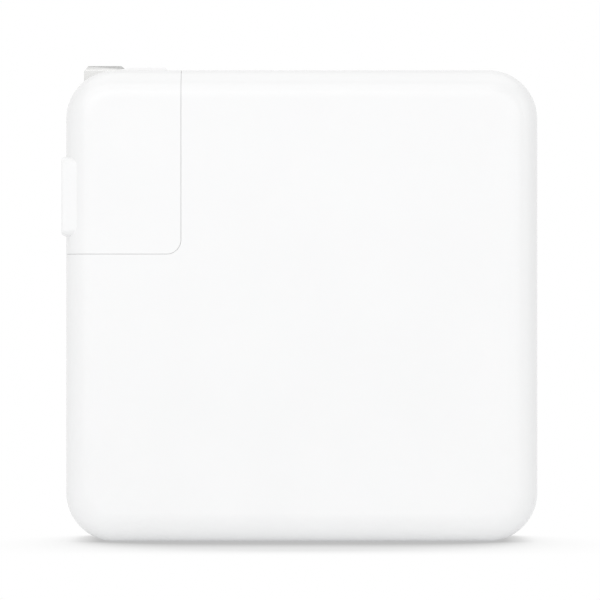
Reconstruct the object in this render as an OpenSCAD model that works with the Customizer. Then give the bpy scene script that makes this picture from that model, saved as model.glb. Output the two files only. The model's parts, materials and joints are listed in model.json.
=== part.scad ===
// Laptop power adapter with a USB-C socket and a slide-off corner wall plug
// whose two blades fold away. Millimetres, Z up. The origin is the centre of
// the narrow bottom side that the adapter stands on, X points right, and Y
// points away from the broad front face.

/* [Body] */
// Width of the body, across the broad face
body_w = 74; // [73:0.5:110]
// Height of the body
body_h = 74; // [73:0.5:110]
// Thickness of the body
body_t = 28.5; // [28:0.5:40]
// Radius of the four corners of the broad face
corner_r = 7.7; // [6:0.1:11]
// Radius that rounds the broad faces into the narrow sides
edge_r = 4; // [3:0.1:5.5]
// Wall thickness of the two shells
wall = 2; // [1.8:0.1:2.3]
// Width of the seam between the two shells
seam_gap = 0.1; // [0:0.05:0.3]
// Thickness of the lip that keys the shells together
lip_t = 0.8; // [0.5:0.1:1.1]
// Height of that lip
lip_h = 1.4; // [0.8:0.1:2.4]
// Clearance round the lip, and round all that passes through a shell
shell_fit = 0.1; // [0.05:0.05:0.2]

/* [Wall plug] */
// Width of the plug, which fills the upper left corner
plug_w = 18.1; // [17.8:0.1:22]
// Height of the plug
plug_h = 28.9; // [27:0.1:34]
// Radius of the plug's inner corner
plug_corner_r = 2.2; // [1:0.1:4]
// Gap between the plug and the body
plug_gap = 0.12; // [0.1:0.02:0.3]
// Wall thickness of the plug's shell
plug_wall = 1.8; // [1.5:0.1:2]
// How far the pad round the blades stands out
pad_out = 0.6; // [0.3:0.1:1]
// Height of that pad
pad_h = 12.4; // [11:0.1:13.4]
// Distance from that pad's ends to the broad faces
pad_edge = 0.75; // [0.7:0.05:2]
// Radius of that pad's four corners
pad_r = 1.4; // [0.6:0.1:3]
// Thickness of the raised guard behind the blade tips
guard_h = 0.45; // [0.2:0.05:0.8]
// Length of that guard along the top
guard_l = 6.6; // [4:0.1:8]
// Width of that guard across the top
guard_w = 18.3; // [14:0.1:20]
// How far the guard's two ends slope in
guard_end = 0.8; // [0.3:0.1:1.5]
// Length of the guard's ramp, beside the blade tips
guard_ramp = 2.8; // [1:0.1:4]

/* [Blades] */
// Distance between the centres of the two blades
blade_pitch = 12.7; // [12.2:0.1:13]
// Thickness of a blade
blade_t = 1.5; // [1.3:0.05:1.7]
// Width of a blade
blade_w = 6.4; // [6:0.1:6.8]
// How far the folded blades' tips stand out of the top
tip_out = 0.8; // [0.4:0.1:2]
// Length of the bevelled tip
blade_bevel = 0.85; // [0.6:0.05:3]
// Thickness that the bevels leave at the very tip
blade_tip_t = 0.6; // [0.4:0.05:1]
// Radius of the hole in a blade
blade_hole_r = 1.6; // [1:0.1:1.8]
// Distance from a blade's tip to its hole
blade_hole_in = 11.7; // [9:0.1:12.5]
// Distance from the hinge axis to the blade's centre line
blade_offset = 1.5; // [0.5:0.1:1.8]
// Thickness of the side's skin over the barrel, under the pad
hinge_skin = 0.5; // [0.4:0.1:1]
// Gap between the barrel's room and the contacts under it
hinge_gap = 0.2; // [0.1:0.05:0.6]
// Radius of the barrel that carries the blades
barrel_r = 3.6; // [3.4:0.1:3.8]
// Length of the barrel
barrel_l = 19.6; // [17:0.2:20.2]
// Clearance round the barrel
barrel_gap = 0.3; // [0.2:0.05:0.4]
// Radius of the two hinge pins
hinge_pin_r = 1; // [0.7:0.1:1.2]
// Length of a hinge pin inside the barrel
hinge_pin_in = 2; // [1:0.1:2.2]
// Running clearance of the hinge, all round
hinge_fit = 0.05; // [0.02:0.01:0.08]
// Width of a blade's slot
slot_w = 2; // [1.9:0.05:2.4]
// Thickness of the detent spring
spring_t = 0.4; // [0.2:0.05:0.6]
// Length of the detent spring
spring_l = 8.4; // [7.8:0.1:9]
// Width of the detent spring
spring_w = 5; // [3:0.1:6]

/* [Inlet] */
// Gap between the inlet's housing and the left wall
inlet_gap = 1; // [0.8:0.1:1.2]
// Distance between the two pins
pin_pitch = 8.6; // [8:0.1:9]
// Radius of a pin
pin_r = 1.2; // [1:0.05:1.3]
// Depth of the inlet
inlet_depth = 10.6; // [9.8:0.1:12]
// Length of the pins that stands free in the inlet
pin_l = 8.4; // [6:0.1:9]
// Radius of the inlet's two round ends
inlet_r = 4; // [3.8:0.05:4.2]
// Thickness of the collar round the inlet, which fills the notch's floor
inlet_collar = 0.8; // [0.6:0.05:1]
// Wall round the inlet
inlet_wall = 1.4; // [1:0.1:1.6]
// Thickness of the inlet's base, which holds the pins
inlet_base = 2.6; // [1.6:0.1:2.8]
// Length of the pins' tails below the base
pin_tail = 1.4; // [1:0.1:2]
// Length of the plug's nose
nose_l = 9; // [7:0.1:9.4]
// Gap round the nose
nose_gap = 0.3; // [0.2:0.05:0.4]
// Thickness of the nose's flange inside the plug
flange_t = 1.2; // [0.8:0.1:1.4]
// Thickness of the contacts' feet and arms
contact_t = 0.4; // [0.3:0.05:0.5]
// Clearance between a pin and the contact that grips it
contact_fit = 0.1; // [0.05:0.01:0.1]

/* [Ground stud] */
// Height of the stud above the plug's bottom edge
stud_rise = 14.9; // [12:0.1:17]
// Radius of the stud's neck
stud_neck_r = 2.2; // [1.8:0.1:2.6]
// Radius of the stud's head
stud_head_r = 3.5; // [3:0.1:3.8]
// Length of the neck outside the body
stud_neck_l = 1.8; // [1.5:0.1:2.2]
// Thickness of the head
stud_head_t = 1.2; // [0.9:0.1:1.5]
// Width of the ground nut across its flats
nut_w = 7; // [6:0.1:8]
// Thickness of the ground nut
nut_t = 2.6; // [1.5:0.1:3]

/* [USB-C socket] */
// Opening of the socket, the long way
usb_w = 8.34; // [8.2:0.02:8.5]
// Opening of the socket, the narrow way
usb_h = 2.56; // [2.4:0.02:2.7]
// Thickness of the socket's metal shell
usb_shell_t = 0.35; // [0.2:0.05:0.5]
// Length of the socket
usb_l = 7.6; // [6:0.1:10]
// How far the socket sits behind the side
usb_recess = 0.7; // [0.2:0.1:1.4]
// Length of the tongue in front of its base
tongue_l = 4.45; // [3.5:0.05:4.8]
// Width of the tongue
tongue_w = 6.69; // [6.4:0.01:6.9]
// Thickness of the tongue
tongue_t = 0.7; // [0.6:0.02:0.8]

/* [Boards] */
// Thickness of the main board
board_t = 1.6; // [1:0.1:2]
// Gap between the main board and the rear shell
board_gap = 2; // [1.8:0.1:2.6]
// Gap between the board's edge and the walls
board_edge = 1; // [0.6:0.1:2]
// Radius of the posts that carry the board
post_r = 2.5; // [2:0.1:3]
// Radius of the stakes that locate it
stake_r = 1; // [0.8:0.1:1.4]
// Thickness of the output board
output_board_t = 1; // [0.8:0.1:1.4]
// Length of the output board
output_board_w = 23; // [20:0.5:24]
// Height of the output board
output_board_h = 30; // [20:0.5:31]
// Length of the header blocks between the boards
header_l = 14; // [8:0.5:16]
// Thickness of a header block
header_t = 3; // [2:0.1:4]
// Gap between parts that stand side by side on the boards
part_gap = 0.6; // [0.3:0.05:0.8]

/* [Heat spreading] */
// Thickness of the copper heat spreaders
spreader_t = 0.5; // [0.3:0.05:0.6]
// Thickness of the insulating films
film_t = 0.3; // [0.1:0.05:0.3]
// How far a film reaches past its heat spreader
film_edge = 1; // [0.5:0.1:1.5]
// Size of the thermal pads
pad_size = 13; // [8:0.5:16]

/* [Mains components] */
// Radius of the fuse
fuse_r = 2.6; // [2:0.1:2.8]
// Height of the fuse
fuse_h = 8; // [5:0.5:10]
// Radius of the surge limiter's disc
varistor_r = 2.6; // [2:0.1:2.8]
// Thickness of the surge limiter
varistor_t = 3.4; // [2:0.1:4]
// Length of the filter capacitor
filter_cap_l = 14; // [10:0.5:15]
// Thickness of the filter capacitor
filter_cap_t = 5; // [4:0.1:5.4]
// Height of the filter capacitor
filter_cap_h = 12; // [8:0.5:14]
// Outer radius of the choke's core
choke_r = 5.6; // [5:0.1:5.8]
// Radius of the choke's hole
choke_hole_r = 2.8; // [2.4:0.1:3]
// Thickness of the choke's core
choke_t = 4.6; // [4:0.1:4.8]
// Thickness of the choke's two windings
choke_wire = 0.8; // [0.5:0.1:0.9]
// Radius of a bulk capacitor
bulk_r = 6.2; // [5:0.1:6.3]
// Gap between the bulk capacitors' ends and the insulation beside them
bulk_gap = 1.6; // [1:0.1:3]
// Radius of the wires
wire_r = 0.75; // [0.5:0.05:0.85]

/* [Converter] */
// Width of the transformer's core
core_w = 18; // [16:0.5:19]
// Depth of the transformer's core, up the board
core_d = 12; // [9:0.5:13]
// Height of the transformer's core above the board
core_h = 16.4; // [14:0.2:17]
// Thickness of the core's legs
core_leg = 3; // [2.4:0.1:3.2]
// Radius of the core's middle leg
core_mid_r = 2.8; // [2.4:0.1:3]
// Thickness of the bobbin
bobbin_t = 0.7; // [0.5:0.05:0.9]
// Width of the two rails that the bobbin stands on
rail_w = 2; // [1:0.1:2.2]
// Thickness of the heat sink's plate
sink_t = 1.5; // [1:0.1:2]
// Width of the heat sink
sink_w = 17; // [14:0.5:18]
// Height of the heat sink above the board
sink_h = 17; // [14:0.5:18]
// Width of the power transistor
transistor_w = 10; // [8:0.1:10.4]
// Thickness of the power transistor
transistor_t = 4.4; // [3:0.1:4.6]
// Height of the power transistor
transistor_h = 13; // [10:0.5:14]
// Width of the bridge rectifier
bridge_w = 14; // [10:0.5:16]
// Thickness of the bridge rectifier
bridge_t = 2.4; // [2:0.1:4]
// Height of the bridge rectifier
bridge_h = 11; // [8:0.5:14]
// Radius of the safety capacitor's disc
disc_r = 3.6; // [3:0.1:4]
// Thickness of the safety capacitor's disc
disc_t = 3; // [2:0.1:3.4]
// Width of the opto-coupler
opto_w = 3.8; // [3:0.1:4]
// Length of the opto-coupler
opto_l = 4.6; // [4:0.1:6]
// Height of the opto-coupler
opto_h = 3.4; // [2:0.1:4]
// Length of a controller chip
chip_l = 5; // [3:0.1:6]
// Width of a controller chip
chip_w = 4; // [3:0.1:5]
// Height of a controller chip
chip_h = 1.2; // [0.8:0.1:1.6]
// Radius of an output capacitor
output_cap_r = 3.4; // [3:0.1:3.5]
// Height of an output capacitor
output_cap_h = 14; // [8:0.5:16]
// Radius of the output inductor
inductor_r = 5.5; // [4:0.1:6]
// Height of the output inductor
inductor_h = 9; // [6:0.5:14]

/* [Hidden] */
$fn = 72;
eps = 0.01;
far = 60;

// The body's sides and the insides of its walls
left = -body_w / 2;
right = body_w / 2;
front = -body_t / 2;
rear = body_t / 2;
in_left = left + wall;
in_right = right - wall;
in_bottom = wall;
in_top = body_h - wall;
in_front = front + wall;
in_rear = rear - wall;

// The plug's inner edges, and the notch that takes it
plug_x = left + plug_w;
plug_z = body_h - plug_h;
notch_x = plug_x + plug_gap;
notch_z = plug_z - plug_gap;
notch_r = plug_corner_r + plug_gap;
notch_in_x = notch_x + wall;
notch_in_z = notch_z - wall;

// The hinge
cavity_r = barrel_r + barrel_gap;
hinge_x = left + hinge_skin + cavity_r;
hinge_z = plug_z + plug_wall + flange_t + contact_t + hinge_gap + cavity_r;
hinge_boss_r = hinge_skin + cavity_r - plug_wall + 0.6;
pad_z = hinge_z + blade_offset;
blade_reach = body_h + tip_out - hinge_z;
cavity_l = barrel_l + 2 * shell_fit;
blade_root = cavity_r;
tang_w = 4;
tang_x = -1.7;
tang_z = -2.4;
slot_end_x = hinge_x + blade_offset + blade_w / 2 + barrel_gap;
slot_low_z = hinge_z + blade_offset - blade_w / 2 - barrel_gap;
slot_rib = 0.8;

// The inlet
inlet_out_x = inlet_r + inlet_wall;
inlet_out_y = pin_pitch / 2 + inlet_r + inlet_wall;
inlet_x = in_left + inlet_gap + inlet_out_x;
inlet_floor_z = notch_z - inlet_depth;
inlet_low_z = inlet_floor_z - inlet_base;
inlet_neck = 1.4 * inlet_r;
wire_bend = 2.4 * wire_r;
wire_z = inlet_low_z - wire_r - 0.2;
collar_r = inlet_r + inlet_collar;
collar_neck = inlet_neck + 2 * inlet_collar;
nose_r = inlet_r - nose_gap;
nose_neck = inlet_neck - 2 * nose_gap;
tube_r = pin_r + contact_fit + 0.5;

// The stud and the T-slot that takes it
stud_z = plug_z + stud_rise;
stud_gap = 0.3;
slot_lip = stud_neck_l - plug_gap - 0.1;
slot_depth = slot_lip + stud_head_t + stud_gap + 0.1;
slot_block_wall = 1;
slot_block_x = plug_x - slot_depth - slot_block_wall;
slot_block_y = stud_head_r + stud_gap + slot_block_wall;
slot_block_z = stud_z + stud_head_r + stud_gap + slot_block_wall;
base_plate_t = 1.6;

// The socket, half way up the right side
usb_z = body_h / 2;
usb_out_w = usb_w + 2 * usb_shell_t;
usb_out_h = usb_h + 2 * usb_shell_t;
usb_front_x = right - usb_recess;
usb_back_x = usb_front_x - usb_l;
usb_base_l = usb_l - tongue_l - 0.8;

// The boards
board_back_y = in_rear - board_gap;
board_y = board_back_y - board_t;
board_left = in_left + board_edge;
board_right = in_right - board_edge;
board_low = in_bottom + board_edge;
board_high = in_top - board_edge;
board_cut_x = notch_in_x + 0.6;
board_cut_z = inlet_low_z - 0.6;
board_r = corner_r - wall - board_edge;
post_in = post_r + 0.3 * board_r;
output_y = usb_out_h / 2;
output_right = in_right - 0.2;
output_left = output_right - output_board_w;
output_low = usb_z - output_board_h / 2;
barrier_t = 0.4;
barrier_x = output_left - part_gap - barrier_t;

// The films on the broad walls, clear of the notch and of the posts
film_left = notch_in_x + 1.5;
film_right = board_right - post_in - post_r - 0.3;
film_low = in_bottom + edge_r - wall + 1;
film_high = board_high - post_in - post_r - 0.3;

// Where the mains parts stand on the board
mains_x = board_left + 1.4;
fuse_x = mains_x + part_gap + fuse_r;
fuse_z = board_low + 0.8 + fuse_r;
varistor_x = fuse_x + fuse_r + 2 * part_gap;
filter_cap_z = fuse_z + max(fuse_r, varistor_r) + part_gap;
choke_x = inlet_x + 0.8;
choke_z = inlet_low_z - pin_tail - 1 - choke_wire - choke_t / 2;
choke_y = board_y - choke_r - choke_wire - 0.1;
bulk_x = board_cut_x + 1.8;
bulk_l = barrier_x - bulk_gap - bulk_x;
bulk_y = board_y - bulk_r - 0.1;
bulk_low_z = board_low + 0.8 + bulk_r;
bulk_high_z = bulk_low_z + 2 * bulk_r + part_gap;

// Where the converter's parts stand
core_x = (board_cut_x + barrier_x) / 2;
core_z = bulk_high_z + bulk_r + part_gap + 2 * rail_w + core_d / 2;
winding_r = core_w / 2 - core_leg - 0.3;
sink_z = board_high - 2;
transistor_z = sink_z - sink_t - transistor_t;
bridge_z = core_z + core_d / 2 + 2 * rail_w;
output_caps_x = barrier_x + barrier_t + part_gap + output_cap_r;
output_caps_z = board_low + 0.6 + output_cap_r;
output_caps_step = 2 * output_cap_r + part_gap;
inductor_x = board_right - 1.2 - inductor_r;
inductor_z = board_high - 1.2 - inductor_r;
screw_y = board_y - transistor_h + 1.5;
screw_r = 1.5;
screw_head_r = 2.1;

// ---- outlines -------------------------------------------------------------

// A rectangle with round corners, round the origin
module round_rect(w, h, r) {
    square([w - 2 * r, h], center = true);
    square([w, h - 2 * r], center = true);
    for (sx = [-1, 1], sy = [-1, 1])
        translate([sx * (w / 2 - r), sy * (h / 2 - r)])
            circle(r = r);
}

// Section through a rounded corner of a slab: a half slab whose rim is round
module rim(r, t, e) {
    translate([0, -t / 2])
        square([r - e, t]);
    translate([0, -t / 2 + e])
        square([r, t - 2 * e]);
    for (s = [-1, 1])
        intersection() {
            translate([r - e, s * (t / 2 - e)])
                circle(r = e);
            translate([0, -t])
                square([2 * r, 2 * t]);
        }
}

// The region above and left of an inner corner (x, z) of radius r
module corner_region(x, z, r) {
    translate([-far, z + r])
        square([far + x, far]);
    translate([-far, z])
        square([far + x - r, far]);
    translate([x - r, z + r])
        circle(r = r);
}

// The body's outline, drawn in by d, with the notch grown by d
module body_outline(d) {
    difference() {
        translate([0, body_h / 2])
            round_rect(body_w - 2 * d, body_h - 2 * d, corner_r - d);
        corner_region(notch_x + d, notch_z - d, notch_r + d);
    }
}

// The inlet's figure eight in plan, with ends of radius r and a waist
module figure_eight(r, waist) {
    for (s = [-1, 1])
        translate([inlet_x, s * pin_pitch / 2])
            circle(r = r);
    translate([inlet_x - waist / 2, -pin_pitch / 2])
        square([waist, pin_pitch]);
}

// The outline of a USB-C opening, w by h, in Y and Z
module usb_outline(w, h) {
    translate([-h / 2, usb_z - (w - h) / 2])
        square([h, w - h]);
    for (s = [-1, 1])
        translate([0, usb_z + s * (w - h) / 2])
            circle(d = h);
}

// ---- solids ---------------------------------------------------------------

// An outline in X and Z, from y0 to y1
module along_y(y0, y1) {
    translate([0, y1, 0])
        rotate([90, 0, 0])
            linear_extrude(y1 - y0)
                children();
}

// An outline in Y and Z, from x0 to x1
module along_x(x0, x1) {
    translate([x0, 0, 0])
        rotate([90, 0, 90])
            linear_extrude(x1 - x0)
                children();
}

// An outline in X and Y, from z0 to z1
module along_z(z0, z1) {
    translate([0, 0, z0])
        linear_extrude(z1 - z0)
            children();
}

// A block between two opposite corners
module block(low, high) {
    translate(low)
        cube(high - low);
}

// The body as a solid with round rims, drawn in by d on every side
module body_solid(d) {
    w = body_w - 2 * d;
    h = body_h - 2 * d;
    t = body_t - 2 * d;
    r = corner_r - d;
    e = edge_r - d;
    translate([0, 0, body_h / 2])
        rotate([90, 0, 0]) {
            rotate([90, 0, 0])
                linear_extrude(h - 2 * r, center = true)
                    round_rect(w, t, e);
            rotate([90, 0, 90])
                linear_extrude(w - 2 * r, center = true)
                    round_rect(h, t, e);
            for (k = [0:3])
                translate([[1, -1, -1, 1][k] * (w / 2 - r), [1, 1, -1, -1][k] * (h / 2 - r), 0])
                    rotate([0, 0, 90 * k])
                        rotate_extrude(angle = 90)
                            rim(r, t, e);
        }
}

// What is cut through the body's two walls: inlet, stud and socket
module body_openings() {
    along_z(notch_in_z - 1, notch_z + 1)
        figure_eight(collar_r + shell_fit, collar_neck + 2 * shell_fit);
    translate([notch_x - 1, 0, stud_z])
        rotate([0, 90, 0])
            cylinder(r = stud_neck_r + shell_fit, h = wall + 2);
    along_x(in_right - 1, right + 1)
        usb_outline(usb_out_w + 2 * shell_fit, usb_out_h + 2 * shell_fit);
}

// The body's wall in front of the seam (side -1) or behind it (side 1)
module shell_half(side) {
    difference() {
        body_solid(0);
        along_y(-far, far)
            corner_region(notch_x, notch_z, notch_r);
        difference() {
            body_solid(wall);
            along_y(-far, far)
                corner_region(notch_in_x, notch_in_z, notch_r + wall);
        }
        body_openings();
        translate([0, side * (seam_gap / 2 - far), body_h / 2])
            cube([4 * far, 2 * far, 4 * far], center = true);
    }
}

// Where the posts carry the main board
function posts() = [
    [board_left + post_in, board_low + post_in],
    [board_right - post_in, board_low + post_in],
    [board_right - post_in, board_high - post_in],
    [board_cut_x + post_in, board_high - post_in]
];

// A round wire that leaves a point along X, bends, and runs on to the board
module wire(start, run) {
    side = run > 0 ? 1 : -1;
    straight = abs(run) - wire_bend;
    translate(start)
        rotate([0, side * 90, 0])
            cylinder(r = wire_r, h = straight, $fn = 32);
    translate(start + [side * straight, wire_bend, 0])
        rotate([0, 0, side > 0 ? -90 : 180])
            rotate_extrude(angle = 90, $fn = 64)
                translate([wire_bend, 0])
                    circle(r = wire_r, $fn = 32);
    translate([start[0] + run, board_y, start[2]])
        rotate([90, 0, 0])
            cylinder(r = wire_r, h = board_y - start[1] - wire_bend, $fn = 32);
}

// ---- body shells ----------------------------------------------------------

module front_shell() {
    color("white") {
        shell_half(-1);
        along_y(-seam_gap / 2 - eps, lip_h - seam_gap / 2)
            difference() {
                body_outline(wall - lip_t);
                body_outline(wall);
                // the lip stops short of all that passes through the seam
                translate([inlet_x - inlet_out_x - 0.3, notch_in_z - 1])
                    square([2 * inlet_out_x + 0.6, wall + 2]);
                translate([notch_x - 1, stud_z - stud_neck_r - 0.5])
                    square([wall + 2, 2 * stud_neck_r + 1]);
                translate([in_right - 1, usb_z - usb_out_w / 2 - 0.5])
                    square([wall + 2, usb_out_w + 1]);
            }
    }
}

module rear_shell() {
    color("white") {
        difference() {
            shell_half(1);
            // rebate for the front shell's lip
            along_y(-far, lip_h + shell_fit)
                difference() {
                    body_outline(wall - lip_t - shell_fit);
                    body_outline(wall + 1);
                }
        }
        for (p = posts()) {
            translate([p[0], in_rear + eps, p[1]])
                rotate([90, 0, 0])
                    cylinder(r = post_r, h = board_gap + eps);
            translate([p[0], board_back_y + eps, p[1]])
                rotate([90, 0, 0])
                    cylinder(r = stake_r, h = board_t - 0.2);
        }
    }
}

// ---- inlet, stud and socket -----------------------------------------------

module inlet_housing() {
    color("whitesmoke")
        difference() {
            union() {
                along_z(inlet_low_z, notch_in_z)
                    translate([inlet_x, 0])
                        round_rect(2 * inlet_out_x, 2 * inlet_out_y, 1.5);
                // collar that fills the opening in the notch's floor
                along_z(notch_in_z - 1, notch_z)
                    figure_eight(collar_r, collar_neck);
            }
            along_z(inlet_floor_z, notch_z + 1)
                figure_eight(inlet_r, inlet_neck);
            for (s = [-1, 1])
                translate([inlet_x, s * pin_pitch / 2, inlet_low_z - 1])
                    cylinder(r = pin_r, h = inlet_base + 2);
        }
}

module inlet_pins() {
    low = inlet_low_z - pin_tail;
    high = inlet_floor_z + pin_l;
    color("silver")
        for (s = [-1, 1])
            translate([inlet_x, s * pin_pitch / 2, 0])
                rotate_extrude()
                    polygon([
                        [0, low], [pin_r, low], [pin_r, high - pin_r], [pin_r / 2, high], [0, high]
                    ]);
}

// The stud is turned: a neck through the wall and the nut, and a head
module ground_stud() {
    inner = -notch_in_x - nut_t;
    neck = -notch_x + stud_neck_l;
    outer = neck + stud_head_t;
    bevel = 0.3;
    color("silver")
        translate([0, 0, stud_z])
            rotate([0, -90, 0])
                rotate_extrude()
                    polygon([
                        [0, inner], [stud_neck_r, inner], [stud_neck_r, neck],
                        [stud_head_r, neck], [stud_head_r, outer - bevel],
                        [stud_head_r - bevel, outer], [0, outer]
                    ]);
}

module ground_nut() {
    color("goldenrod")
        translate([notch_in_x, 0, stud_z])
            rotate([0, 90, 0])
                difference() {
                    cylinder(d = nut_w / cos(30), h = nut_t, $fn = 6);
                    translate([0, 0, -1])
                        cylinder(r = stud_neck_r, h = nut_t + 2);
                }
}

module usb_c_shell() {
    color("silver")
        difference() {
            along_x(usb_back_x, usb_front_x)
                usb_outline(usb_out_w, usb_out_h);
            along_x(usb_back_x - 1, usb_front_x + 1)
                usb_outline(usb_w, usb_h);
        }
}

module usb_c_tongue() {
    color("#222222") {
        along_x(usb_back_x, usb_back_x + usb_base_l)
            usb_outline(usb_w, usb_h);
        block([usb_back_x + usb_base_l - eps, -tongue_t / 2, usb_z - tongue_w / 2],
              [usb_back_x + usb_base_l + tongue_l, tongue_t / 2, usb_z + tongue_w / 2]);
    }
}

module usb_c_contacts() {
    contact_pitch = 0.5;
    contact_w = 0.26;
    contact_t = 0.06;
    contact_x = usb_back_x + usb_base_l;
    color("gold")
        for (s = [-1, 1], i = [-5.5:1:5.5])
            translate([contact_x, s * (tongue_t + contact_t) / 2 - contact_t / 2,
                       usb_z + i * contact_pitch - contact_w / 2])
                cube([tongue_l - 0.5, contact_t, contact_w]);
}

// ---- boards and their parts -----------------------------------------------

module output_board() {
    color("darkgreen")
        block([output_left, output_y, output_low],
              [output_right, output_y + output_board_t, output_low + output_board_h]);
}

module main_board() {
    color("darkgreen")
        difference() {
            along_y(board_y, board_back_y)
                difference() {
                    translate([0, body_h / 2])
                        round_rect(board_right - board_left, board_high - board_low, board_r);
                    corner_region(board_cut_x, board_cut_z, notch_r);
                }
            for (p = posts())
                translate([p[0], board_back_y + 1, p[1]])
                    rotate([90, 0, 0])
                        cylinder(r = stake_r + shell_fit, h = board_t + 2);
        }
}

// Two blocks of pins between the main board and the output board
module board_headers() {
    color("#222222")
        for (z = [output_low + header_t / 2, output_low + output_board_h - 1.5 * header_t])
            block([output_left + header_t, output_y + output_board_t, z],
                  [output_left + header_t + header_l, board_y, z + header_t]);
}

module bulk_capacitors() {
    color("slategray")
        for (z = [bulk_low_z, bulk_high_z])
            translate([bulk_x, bulk_y, z])
                rotate([0, 90, 0]) {
                    cylinder(r = bulk_r, h = bulk_l);
                    // the rubber seal's leads reach down to the board
                    for (s = [-1, 1])
                        translate([s * 2.5, 0, -1.2])
                            cylinder(r = 0.4, h = 1.2 + eps);
                    for (s = [-1, 1])
                        translate([s * 2.5, 0, -0.8])
                            rotate([-90, 0, 0])
                                cylinder(r = 0.4, h = board_y - bulk_y);
                }
}

// The core is two E halves: back, front, two outer legs and the middle leg
module transformer_core() {
    y0 = board_y - core_h;
    y1 = board_y - 2;
    color("#444444") {
        for (x = [core_x - core_w / 2, core_x + core_w / 2 - core_leg])
            block([x, y0, core_z - core_d / 2], [x + core_leg, y1, core_z + core_d / 2]);
        for (y = [y0, y1 - core_leg / 2])
            block([core_x - core_w / 2, y, core_z - core_d / 2],
                  [core_x + core_w / 2, y + core_leg / 2, core_z + core_d / 2]);
        translate([core_x, y1 - eps, core_z])
            rotate([90, 0, 0])
                cylinder(r = core_mid_r, h = y1 - y0 - 2 * eps);
    }
}

module transformer_bobbin() {
    y0 = board_y - core_h + core_leg / 2 + 0.1;
    y1 = board_y - 2 - core_leg / 2 - 0.1;
    color("tan") {
        difference() {
            union() {
                translate([core_x, y1, core_z])
                    rotate([90, 0, 0])
                        cylinder(r = core_mid_r + 0.1 + bobbin_t, h = y1 - y0);
                for (y = [y0, y1 - bobbin_t])
                    translate([core_x, y + bobbin_t, core_z])
                        rotate([90, 0, 0])
                            cylinder(r = winding_r, h = bobbin_t);
            }
            translate([core_x, y1 + 1, core_z])
                rotate([90, 0, 0])
                    cylinder(r = core_mid_r + 0.1, h = y1 - y0 + 2);
        }
        // the two rails that stand on the board, with the pins' row
        for (s = [-1, 1])
            translate([core_x, 0, core_z + s * (core_d / 2 + 0.2 + rail_w / 2)])
                block([-winding_r, y1 - bobbin_t, -rail_w / 2],
                      [winding_r, board_y, rail_w / 2]);
    }
}

module transformer_winding() {
    y0 = board_y - core_h + core_leg / 2 + 0.1 + bobbin_t;
    y1 = board_y - 2 - core_leg / 2 - 0.1 - bobbin_t;
    color("orange")
        translate([core_x, y1, core_z])
            rotate([90, 0, 0])
                difference() {
                    cylinder(r = winding_r - 0.3, h = y1 - y0);
                    translate([0, 0, -1])
                        cylinder(r = core_mid_r + 0.1 + bobbin_t, h = y1 - y0 + 2);
                }
}

module choke_core() {
    color("#444444")
        translate([choke_x, choke_y, choke_z - choke_t / 2])
            difference() {
                cylinder(r = choke_r, h = choke_t);
                translate([0, 0, -1])
                    cylinder(r = choke_hole_r, h = choke_t + 2);
            }
}

// Two windings, each round a third of the ring
module choke_windings() {
    color("orange")
        for (a = [30, 210])
            translate([choke_x, choke_y, choke_z])
                rotate([0, 0, a])
                    rotate_extrude(angle = 120)
                        difference() {
                            translate([choke_hole_r - choke_wire, -choke_t / 2 - choke_wire])
                                square([choke_r - choke_hole_r + 2 * choke_wire,
                                        choke_t + 2 * choke_wire]);
                            translate([choke_hole_r, -choke_t / 2])
                                square([choke_r - choke_hole_r, choke_t]);
                        }
}

module filter_capacitor() {
    color("goldenrod")
        block([mains_x, board_y - filter_cap_h, filter_cap_z],
              [mains_x + filter_cap_l, board_y, filter_cap_z + filter_cap_t]);
}

module fuse() {
    color("#333333")
        translate([fuse_x, board_y, fuse_z])
            rotate([90, 0, 0])
                cylinder(r = fuse_r, h = fuse_h);
}

module surge_limiter() {
    color("royalblue") {
        translate([varistor_x, board_y - varistor_r - 1, fuse_z])
            rotate([0, 90, 0])
                cylinder(r = varistor_r, h = varistor_t);
        for (s = [-1, 1])
            translate([varistor_x + varistor_t / 2, board_y, fuse_z + s * varistor_r / 2])
                rotate([90, 0, 0])
                    cylinder(r = 0.4, h = varistor_r);
    }
}

module bridge_rectifier() {
    color("#222222")
        block([core_x - bridge_w / 2, board_y - bridge_h, bridge_z],
              [core_x + bridge_w / 2, board_y, bridge_z + bridge_t]);
}

module heat_sink() {
    color("silver")
        difference() {
            block([core_x - sink_w / 2, board_y - sink_h, sink_z - sink_t],
                  [core_x + sink_w / 2, board_y, sink_z]);
            translate([core_x, screw_y, sink_z - sink_t - 1])
                cylinder(r = screw_r, h = sink_t + 2);
        }
}

module power_transistor() {
    color("#222222")
        difference() {
            block([core_x - transistor_w / 2, board_y - transistor_h - 1, transistor_z],
                  [core_x + transistor_w / 2, board_y, transistor_z + transistor_t]);
            // the screw's seat and its hole
            translate([core_x, screw_y, transistor_z - 1])
                cylinder(r = screw_head_r + 0.1, h = transistor_t);
            translate([core_x, screw_y, transistor_z - 1])
                cylinder(r = screw_r, h = transistor_t + 2);
        }
}

module transistor_screw() {
    seat = transistor_t - 1;
    head = 1.6;
    color("silver")
        translate([core_x, screw_y, transistor_z])
            rotate_extrude()
                polygon([
                    [0, seat - head], [screw_head_r, seat - head], [screw_head_r, seat],
                    [screw_r, seat], [screw_r, transistor_t + sink_t],
                    [0, transistor_t + sink_t]
                ]);
}

module safety_capacitor() {
    x = barrier_x + barrier_t + part_gap;
    color("cornflowerblue") {
        translate([x, board_y - disc_r - 1, inductor_z])
            rotate([0, 90, 0])
                cylinder(r = disc_r, h = disc_t);
        for (s = [-1, 1])
            translate([x + disc_t / 2, board_y, inductor_z + s * disc_r / 2])
                rotate([90, 0, 0])
                    cylinder(r = 0.4, h = disc_r);
    }
}

module opto_coupler() {
    x = inductor_x - inductor_r - part_gap;
    color("#222222")
        block([x - opto_w, board_y - opto_h, inductor_z - opto_l / 2],
              [x, board_y, inductor_z + opto_l / 2]);
}

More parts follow.
